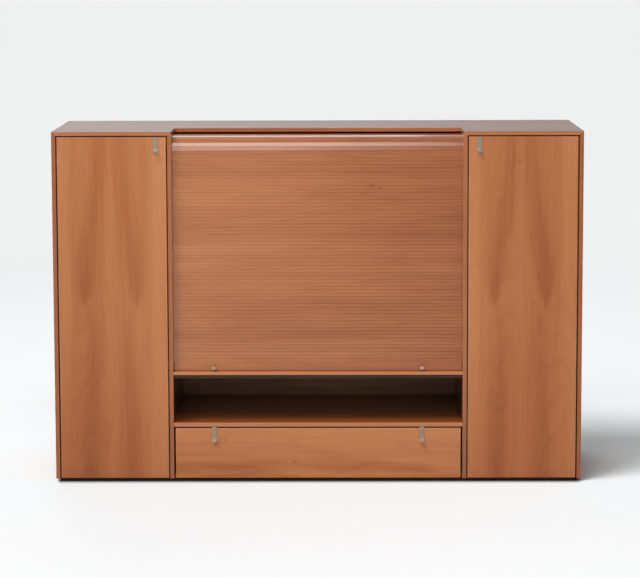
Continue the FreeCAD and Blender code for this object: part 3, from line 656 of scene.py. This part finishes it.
# The partitions: painted shade near the floor, towards the right and inside the niche.
partition_veneer = cherry("cherry_partition", SIDE, (1.7, 0.0, 2.6), tone=-0.02,
                          figure_and_shade=lipping_and_painted_shade(-0.02, -0.14, turn=-0.06), shine=0.4, lacquer=0.5,
                          niche=[(0.0, srgb(130, 116, 104)), (1.0, srgb(138, 130, 118))])
lying_veneer = cherry("cherry_lying", FLAT, (6.0, 0.0, 3.0))
# The top: painted shade on its upper face.
top_veneer = cherry("cherry_top", FLAT, (6.0, 0.0, 3.0), tone=-0.04, lacquer=1.0, sheen=0.12,
                    figure_and_shade=lipping_and_painted_shade(0.02, 0.0, upper_face_shade=-0.22), shine=0.1)
# Painted shade darkens the faces of the decks inside the niche.
deck_veneer = cherry("cherry_deck", FLAT, (9.0, 0.0, 5.0), tone=0.07, contrast=0.6,
                     shine=0.4, lacquer=0.6,
                     niche=[(0.0, srgb(222, 188, 152)), (0.33, srgb(177, 167, 138)),
                            (1.0, srgb(188, 206, 188))])
inner_veneer = cherry("cherry_inner", UPRIGHT, (8.0, 0.0, 4.0), tone=-0.04)
back_veneers = {
    "left": cherry("cherry_back_left", UPRIGHT, (11.0, 0.0, 6.0), tone=-0.03),
    "centre": cherry("cherry_back_centre", UPRIGHT, (12.3, 0.0, 6.7), tone=0.0),
    "right": cherry("cherry_back_right", UPRIGHT, (13.9, 0.0, 7.1), tone=-0.02),
}
rail_veneer = cherry("cherry_rail", CROSSWISE, (13.0, 0.0, 8.0), tone=0.0, contrast=0.6,
                     figure_and_shade=rail_painted_light, shine=0.3, lacquer=0.45)
lining = dark_lining("dark_lining", srgb(124, 91, 68), srgb(186, 143, 110))
# Painted shade: the stiffener under the deck is as dark as the shade it stands in.
shadow_rail = dark_lining("stiffener_painted_shade", srgb(46, 26, 15), srgb(72, 44, 27))
plinth_black = black_laminate()
moulded_black = black_plastic()
nickel = satin_metal()
# The knobs' warm pink tint is partly the metal's own and partly a painted reflection of the
# cherry round them.
nickel_turned = satin_metal("satin_nickel_turned", along=1, light=srgb(202, 173, 154),
                            dark=srgb(160, 135, 119), rough=(0.26, 0.38))
zinc = zinc_steel()
runner_zinc = zinc_steel("zinc_runner", capped=True)
black_zinc = zinc_steel("black_zinc", srgb(38, 35, 33), srgb(58, 54, 50))
ply_side = birch_ply("birch_ply_side", 0, 0.0)
ply_back = birch_ply("birch_ply_back", 1, 0.0)
ply_base = birch_ply("birch_ply_base", 2, 0.0)
canvas = canvas_cloth()

NODE_FINISHES = {
    "bottom_panel_left": lying_veneer,
    "bottom_panel_centre": lying_veneer,
    "bottom_panel_right": lying_veneer,
    "return_guard": inner_veneer,
    "niche_back": lining,
    "plinth_frame": plinth_black,
    "glides": moulded_black,
    "catch_left": moulded_black,
    "catch_right": moulded_black,
    "strike_left": zinc,
    "strike_right": zinc,
    "drawer_side_left": ply_side,
    "drawer_side_right": ply_side,
    "drawer_back": ply_back,
    "drawer_bottom": ply_base,
}
for node in frame["nodes"]:
    if node.startswith("shelf_pins_"):
        NODE_FINISHES[node] = zinc
    if node.startswith("runner_"):
        NODE_FINISHES[node] = runner_zinc
    if node.startswith("pivot_"):
        NODE_FINISHES[node] = black_zinc


# ---------------------------------------------------------------- the shutter

def one_slat(name, spread=1.0):
    """The lowest slat of the upright run: a thin lath with rounded front edges. spread widens
    its face, so that the slats stay closed on the shoulder."""
    half_gap = SLAT_GAP / 2
    piece = block(name, (-SLAT_HALF, SLAT_FACE, RAIL_TOP + half_gap),
                  (SLAT_HALF, SLAT_BACK, RAIL_TOP + SLAT_PITCH - half_gap))
    edit(piece)
    pick(piece, lambda face: face.normal.y < -0.9)
    bpy.ops.transform.resize(value=(1, 1, spread))
    leave()
    edit(piece, "EDGE")
    pick(piece, lambda line: all(abs(p.y - SLAT_FACE) < 1e-5 for p in ends(piece, line))
         and abs(ends(piece, line)[0].x - ends(piece, line)[1].x) > 0.5, "edges")
    bpy.ops.mesh.bevel(offset=0.0005, segments=2, affect="EDGES")
    leave()
    return piece


def shutter_slats():
    """The upright run."""
    piece = one_slat("shutter_slats")
    row = piece.modifiers.new("row", "ARRAY")
    row.count = SLAT_COUNT
    row.use_relative_offset = False
    row.use_constant_offset = True
    row.constant_offset_displace = (0, 0, SLAT_PITCH)
    clear()
    piece.select_set(True)
    bpy.context.view_layer.objects.active = piece
    bpy.ops.object.modifier_apply(modifier="row")
    smooth(piece)
    dress(piece, shutter_veneer)
    place(piece, "curtain_front")
    fold(piece)


def shutter_canvas():
    """The cloth that the upright run is glued to."""
    piece = block("shutter_canvas", (-SLAT_HALF, SLAT_BACK, RAIL_TOP),
                  (SLAT_HALF, CANVAS_BACK, TURN_Z))
    edit(piece, "EDGE")
    bpy.ops.mesh.select_all(action="SELECT")
    bpy.ops.mesh.bevel(offset=0.0002, segments=1, affect="EDGES")
    leave()
    dress(piece, canvas)
    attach(piece, "shutter")
    fold(piece)


def fold(piece):
    """Gives the piece a mesh of its own; it does not shorten the run. On the real shutter the
    upright run shortens upwards as the rail rises, and 1.9 mm of its 725.9 mm are left.
    """
    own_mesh(piece)


def shoulder_slats():
    """Slats on the quarter turn and on the flat run under the top."""
    wide = one_slat("wide_slat", spread=1.245)
    plain = one_slat("plain_slat")
    step = 90 / TURN_SLATS
    parts = [laid(wide, step * (number + 0.5), 0) for number in range(TURN_SLATS)]
    parts += [laid(plain, 90, SLAT_PITCH * (number + 0.5)) for number in range(FLAT_SLATS)]
    for model in (wide, plain):
        bpy.data.objects.remove(model)
    piece = joined(parts, "shoulder_slats")
    smooth(piece)
    dress(piece, shutter_veneer)
    place(piece, "curtain_shoulder")


def laid(model, degrees, back):
    """A copy of the lowest slat, lifted to the quarter turn, turned over the top by an angle
    and slid towards the back."""
    piece = model.copy()
    piece.data = model.data.copy()
    bpy.context.scene.collection.objects.link(piece)
    edit(piece)
    bpy.ops.mesh.select_all(action="SELECT")
    bpy.ops.transform.translate(value=(0, 0, TURN_Z - RAIL_TOP - SLAT_PITCH / 2))
    bpy.ops.transform.rotate(value=math.radians(degrees), orient_axis="X",
                             center_override=(0, TURN_Y, TURN_Z))
    bpy.ops.transform.translate(value=(0, back, 0))
    leave()
    return piece


def joined(parts, name):
    """The parts as one piece."""
    clear()
    for part in parts:
        part.select_set(True)
    bpy.context.view_layer.objects.active = parts[0]
    bpy.ops.object.join()
    piece = parts[0]
    piece.name = name
    piece.data.name = name
    return piece


def shutter_rail():
    """The bottom rail, which carries the knobs."""
    piece = block("shutter_rail", (-BAY + 0.001, SLAT_FACE, RAIL_BOTTOM),
                  (BAY - 0.001, SLAT_FACE + 0.016, RAIL_TOP))
    ease(piece, 0.0018, steps=3)
    dress(piece, rail_veneer)
    place(piece, "curtain_rail")


def knob(name, x):
    """A turned knob: rose, neck, and a crowned head with a small dimple."""
    clear()
    bpy.ops.mesh.primitive_cylinder_add(
        vertices=48, radius=KNOB_ROSE, depth=0.0008, location=(x, SLAT_FACE - 0.0004, KNOB_Z),
        rotation=(math.radians(90), 0, 0), end_fill_type="NGON")
    piece = take(name)
    edit(piece)
    pick(piece, lambda face: face.normal.y < -0.9)
    grow(0.66)          # the neck
    push(-0.0062)
    grow(2.03)          # the head
    push(-0.0022)
    push(-0.0046)
    push(-0.0014)
    grow(0.86)          # the crown and its dimple
    push(-0.0008)
    grow(0.55)
    bpy.ops.mesh.inset(thickness=0.0022, depth=-0.0004)
    leave()
    smooth(piece, 50)
    dress(piece, nickel_turned)
    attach(piece, "shutter")
    return piece


def grow(share):
    """A ring round the picked face, larger or smaller by a share."""
    bpy.ops.mesh.extrude_region_move()
    bpy.ops.transform.resize(value=(share, 1, share))


def push(distance):
    """The picked face moves along Y and draws a wall behind it."""
    bpy.ops.mesh.extrude_region_move(TRANSFORM_OT_translate={"value": (0, distance, 0)})


# ---------------------------------------------------------------- pulls

def pull(name, node, x, top):
    """A strip of satin nickel, its lower end swept outwards for the fingers."""
    low = top - PULL_STRAIGHT
    piece = block(name, (x - PULL_WIDE / 2, FRONT - PULL_THICK, low),
                  (x + PULL_WIDE / 2, FRONT, top))
    edit(piece)
    pick(piece, lambda face: face.normal.z < -0.9)
    bpy.ops.mesh.spin(steps=8, angle=math.radians(60), axis=(1, 0, 0),
                      center=(x, FRONT - PULL_RADIUS - PULL_THICK, low))
    bpy.ops.mesh.select_all(action="SELECT")
    bpy.ops.mesh.remove_doubles(threshold=0.00001)
    bpy.ops.mesh.normals_make_consistent(inside=False)
    leave()
    ease(piece, 0.0004, steps=2, shortest=0.0009)
    dress(piece, nickel)
    place(piece, node)


# ---------------------------------------------------------------- spare holes for the shelves

def liner():
    """The flange of the metal sleeve that lines a shelf hole, facing -Z."""
    clear()
    bpy.ops.mesh.primitive_cylinder_add(vertices=16, radius=SLEEVE_RADIUS, depth=SLEEVE_THICK,
                                        location=(0, 0, -SLEEVE_THICK / 2), end_fill_type="NGON")
    piece = take("liner")
    edit(piece)
    pick(piece, lambda face: face.normal.z < -0.9)
    bpy.ops.mesh.inset(thickness=0.0009)
    bpy.ops.mesh.extrude_region_move(TRANSFORM_OT_translate={"value": (0, 0, 0.00025)})
    leave()
    for face in piece.data.polygons:
        low = max(piece.data.vertices[i].co.z for i in face.vertices) > -0.0001
        face.material_index = int(face.normal.z < -0.9 and low)
    return piece


def pin_liners(name, walls, levels):
    """Lined holes above and below each shelf. walls gives each wall's place and facing in X."""
    model = liner()
    parts = []
    for wall, facing in walls:
        for level in levels:
            for column in PIN_COLUMNS:
                for step in (-3, -2, -1, 1, 2, 3):
                    part = model.copy()
                    part.data = model.data.copy()
                    bpy.context.scene.collection.objects.link(part)
                    part.rotation_euler = (0, math.radians(-90 * facing), 0)
                    part.location = (wall, column, level + step * PIN_STEP)
                    parts.append(part)
    bpy.data.objects.remove(model)
    piece = joined(parts, name)
    bpy.ops.object.transform_apply(location=True, rotation=True, scale=True)
    dress(piece, nickel, moulded_black)
    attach(piece, "carcass")


# ---------------------------------------------------------------- putting it together

for node, finish in NODE_FINISHES.items():
    dress(frame["nodes"][node], finish)

eased_board("door_left", door_left_veneer)
eased_board("door_right", door_right_veneer)
eased_board("drawer_front", drawer_veneer)
for side in ("left", "right"):
    eased_board("side_panel_" + side, upright_veneer)
    eased_board("partition_" + side, partition_veneer)
    for level in ("low", "high"):
        eased_board("shelf_%s_%s" % (side, level), lying_veneer)
for bay, finish in back_veneers.items():
    eased_board("back_panel_" + bay, finish, width=BACK_ARRIS)
eased_board("top_panel", top_veneer)
eased_board("divider_deck", deck_veneer)
eased_board("deck_rail", shadow_rail)
eased_board("drawer_deck", deck_veneer)
eased_board("shelf_middle", lying_veneer)

pin_liners("pin_liners_left", [(-SIDE_INNER, 1), (-BAY - BOARD, -1)], (LOW_PINS, HIGH_PINS))
pin_liners("pin_liners_right", [(SIDE_INNER, -1), (BAY + BOARD, 1)], (LOW_PINS, HIGH_PINS))
pin_liners("pin_liners_middle", [(-BAY, 1), (BAY, -1)], (MIDDLE_PINS,))

shutter_slats()
shutter_canvas()
shoulder_slats()
shutter_rail()
left_knob = knob("knob_left", -KNOB_X)
knob("knob_right", KNOB_X)
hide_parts("curtain_knobs")

for side, sign in (("left", -1), ("right", 1)):
    pull("door_pull_" + side, "pull_door_" + side, sign * DOOR_PULL_X, DOOR_TOP)
    pull("drawer_pull_" + side, "pull_drawer_" + side, sign * DRAWER_PULL_X, DRAWER_PULL_TOP)


# ---------------------------------------------------------------- floor, light and camera

NEAR_FLOOR = (0.874, 0.884, 0.887, 1)
FAR_FLOOR = (0.896, 0.889, 0.886, 1)
FLOOR_BESIDE = (0.866, 0.908, 0.921, 1)     # evens out the red that the cherry throws on it
CONTACT = (0.02, 0.02, 0.02, 1)
BLACK = (0, 0, 0, 1)
POOLS = (                                   # place, tightness and depth of each dimmed pool
    ((-1.1, -0.7), 0.35, 0.040),
    ((-1.3, 2.0), 0.35, 0.050),
    ((-0.7, -3.0), 0.35, 0.140),
    ((-1.15, -0.10), 7.0, 0.030),
)
SHOULDER = (-0.15, -0.20, 1.17)             # what the softboxes aim at


def floor():
    """A pale floor, dimmed where the lamps pool, that turns into the backdrop far away."""
    clear()
    bpy.ops.mesh.primitive_plane_add(size=240, location=(0, 0, 0))
    ground = take("floor")
    mixer = Finish("pale_floor")
    x, y, _ = mixer.space(UPRIGHT)
    far = mixer.calc("SQRT", mixer.squares(x, y))
    colour = mixer.mix(mixer.stretch(far, 1.5, 6.5, smoothly=True), NEAR_FLOOR, FAR_FLOOR)
    near = mixer.stretch(aside(mixer, x, y), 0.0, 0.9, 1.0, 0.0, smoothly=True)
    colour = mixer.mix(near, colour, FLOOR_BESIDE)
    for spot, tightness, depth in POOLS:
        dim = mixer.calc("MULTIPLY", pool(mixer, x, y, spot, tightness), depth)
        colour = mixer.mix(dim, colour, BLACK)
    colour = mixer.mix(contact_shade(mixer, x, y), colour, CONTACT)
    glow = mixer.add("ShaderNodeLightPath").outputs["Is Camera Ray"]
    glow = mixer.calc("MULTIPLY", glow, mixer.stretch(far, 2.5, 7.5, 0.0, 0.085, smoothly=True))
    ground.data.materials.append(mixer.close(
        colour, 0.8, Specular_IOR_Level=0.0, Emission_Color=(1, 1, 1, 1), Emission_Strength=glow))


def pool(mixer, x, y, spot, tightness):
    """1 where a pool of light is brightest on the floor, and less around it."""
    dx = mixer.calc("SUBTRACT", x, spot[0])
    dy = mixer.calc("SUBTRACT", y, spot[1])
    return mixer.calc("EXPONENT", mixer.calc("MULTIPLY", mixer.squares(dx, dy), -tightness))


def aside(mixer, x, y, squeeze=1.0):
    """The distance from the plinth. squeeze multiplies it at the sides."""
    beside = mixer.calc("SUBTRACT", mixer.calc("ABSOLUTE", x), PLINTH_HALF_WIDTH)
    beside = mixer.calc("MULTIPLY", mixer.calc("MAXIMUM", beside, 0.0), squeeze)
    before = mixer.calc("ABSOLUTE", mixer.calc("SUBTRACT", y, PLINTH_MIDDLE))
    before = mixer.calc("MAXIMUM", mixer.calc("SUBTRACT", before, PLINTH_HALF_DEPTH), 0.0)
    return mixer.calc("SQRT", mixer.squares(beside, before))


def contact_shade(mixer, x, y):
    """The floor darkens within a hand's breadth of the plinth, least at the left."""
    away = aside(mixer, x, y, mixer.stretch(x, -0.9, 0.9, 5.0, 2.0))
    return mixer.stretch(away, 0.0, 0.055, 0.90, 0.0, smoothly=True)


def studio():
    """Even fill light, and pale walls where the camera, polish and metal look at them. The
    walls grow lighter upwards and dimmer towards the right."""
    world = bpy.data.worlds.new("studio")
    bpy.context.scene.world = world
    world.use_nodes = True
    tree = world.node_tree
    tree.nodes.clear()

    def add(kind, **settings):
        node = tree.nodes.new(kind)
        for key, value in settings.items():
            setattr(node, key, value)
        return node

    def plain(colour, strength):
        light = add("ShaderNodeBackground")
        light.inputs[0].default_value = colour
        light.inputs[1].default_value = strength
        return light

    def either(first, second, share):
        mixed = add("ShaderNodeMixShader")
        tree.links.new(share, mixed.inputs[0])
        tree.links.new(first.outputs[0], mixed.inputs[1])
        tree.links.new(second.outputs[0], mixed.inputs[2])
        return mixed

    fill = plain((0.97, 1.0, 1.03, 1), 0.29)
    seen = plain((0.855, 0.855, 0.855, 1), 1.0)
    walls = plain((0.85, 0.85, 0.85, 1), 1.0)
    direction = add("ShaderNodeSeparateXYZ")
    tree.links.new(add("ShaderNodeTexCoord").outputs["Generated"], direction.inputs[0])
    upwards = (2, (0.08, 0.45, 0.45, 0.85), 0)
    sideways = (0, (-0.13, 0.13, 1.06, 0.80), 1)
    for axis, span, target in (upwards, sideways):
        fade = add("ShaderNodeMapRange", interpolation_type="SMOOTHSTEP")
        tree.links.new(direction.outputs[axis], fade.inputs[0])
        for socket, value in zip(fade.inputs[1:5], span):
            socket.default_value = value
        tree.links.new(fade.outputs[0], walls.inputs[target])
    path = add("ShaderNodeLightPath")
    mirrored = add("ShaderNodeMath", operation="MAXIMUM")
    tree.links.new(path.outputs["Is Glossy Ray"], mirrored.inputs[0])
    tree.links.new(path.outputs["Is Transmission Ray"], mirrored.inputs[1])
    mixed = either(fill, walls, mirrored.outputs[0])
    mixed = either(mixed, seen, path.outputs["Is Camera Ray"])
    tree.links.new(mixed.outputs[0], add("ShaderNodeOutputWorld").inputs[0])


def key_light():
    """The main light, kept out of the polish: the softboxes make the highlights."""
    travel = Vector((0.42, 0.28, -0.77)).normalized()
    lamp = bpy.data.lights.new("key", "SUN")
    lamp.energy = 2.22
    lamp.angle = math.radians(25)
    holder = bpy.data.objects.new("key", lamp)
    holder.visible_glossy = False
    holder.location = -4 * travel
    holder.rotation_mode = "QUATERNION"
    holder.rotation_quaternion = travel.to_track_quat("-Z", "Y")
    bpy.context.scene.collection.objects.link(holder)


def softbox(name, spot, aim, wide, tall, power):
    """A softbox aimed at a place. The slats on the shoulder pick it up as a bright line."""
    spot, aim = Vector(spot), Vector(aim)
    lamp = bpy.data.lights.new(name, "AREA")
    lamp.shape = "RECTANGLE"
    lamp.size = wide
    lamp.size_y = tall
    lamp.energy = power
    holder = bpy.data.objects.new(name, lamp)
    holder.location = spot
    holder.rotation_mode = "QUATERNION"
    holder.rotation_quaternion = (aim - spot).to_track_quat("-Z", "Y")
    bpy.context.scene.collection.objects.link(holder)


def camera():
    """A long lens in front of the middle, above the top and looking slightly down."""
    lens = bpy.data.cameras.new("camera")
    lens.sensor_width = 36
    lens.lens = 122.8
    lens.shift_y = -0.15
    lens.clip_end = 400
    holder = bpy.data.objects.new("camera", lens)
    holder.location = (0.066, -7.590, 1.794)
    holder.rotation_euler = [math.radians(turn) for turn in (83.8006, 0.1538, 0.4302)]
    bpy.context.scene.collection.objects.link(holder)
    bpy.context.scene.camera = holder


floor()
studio()
key_light()
softbox("front_softbox", (-0.95, -3.75, 3.35), SHOULDER, 2.2, 3.0, 53)
softbox("upper_strip", (-0.22, -2.96, 4.35), SHOULDER, 1.85, 0.5, 18)
softbox("lower_strip", (-0.35, -4.30, 2.13), SHOULDER, 1.7, 0.45, 6)
softbox("back_softbox", (-0.70, 2.90, 3.40), SHOULDER, 2.6, 1.6, 33)
camera()
bpy.context.scene.view_settings.view_transform = "Standard"
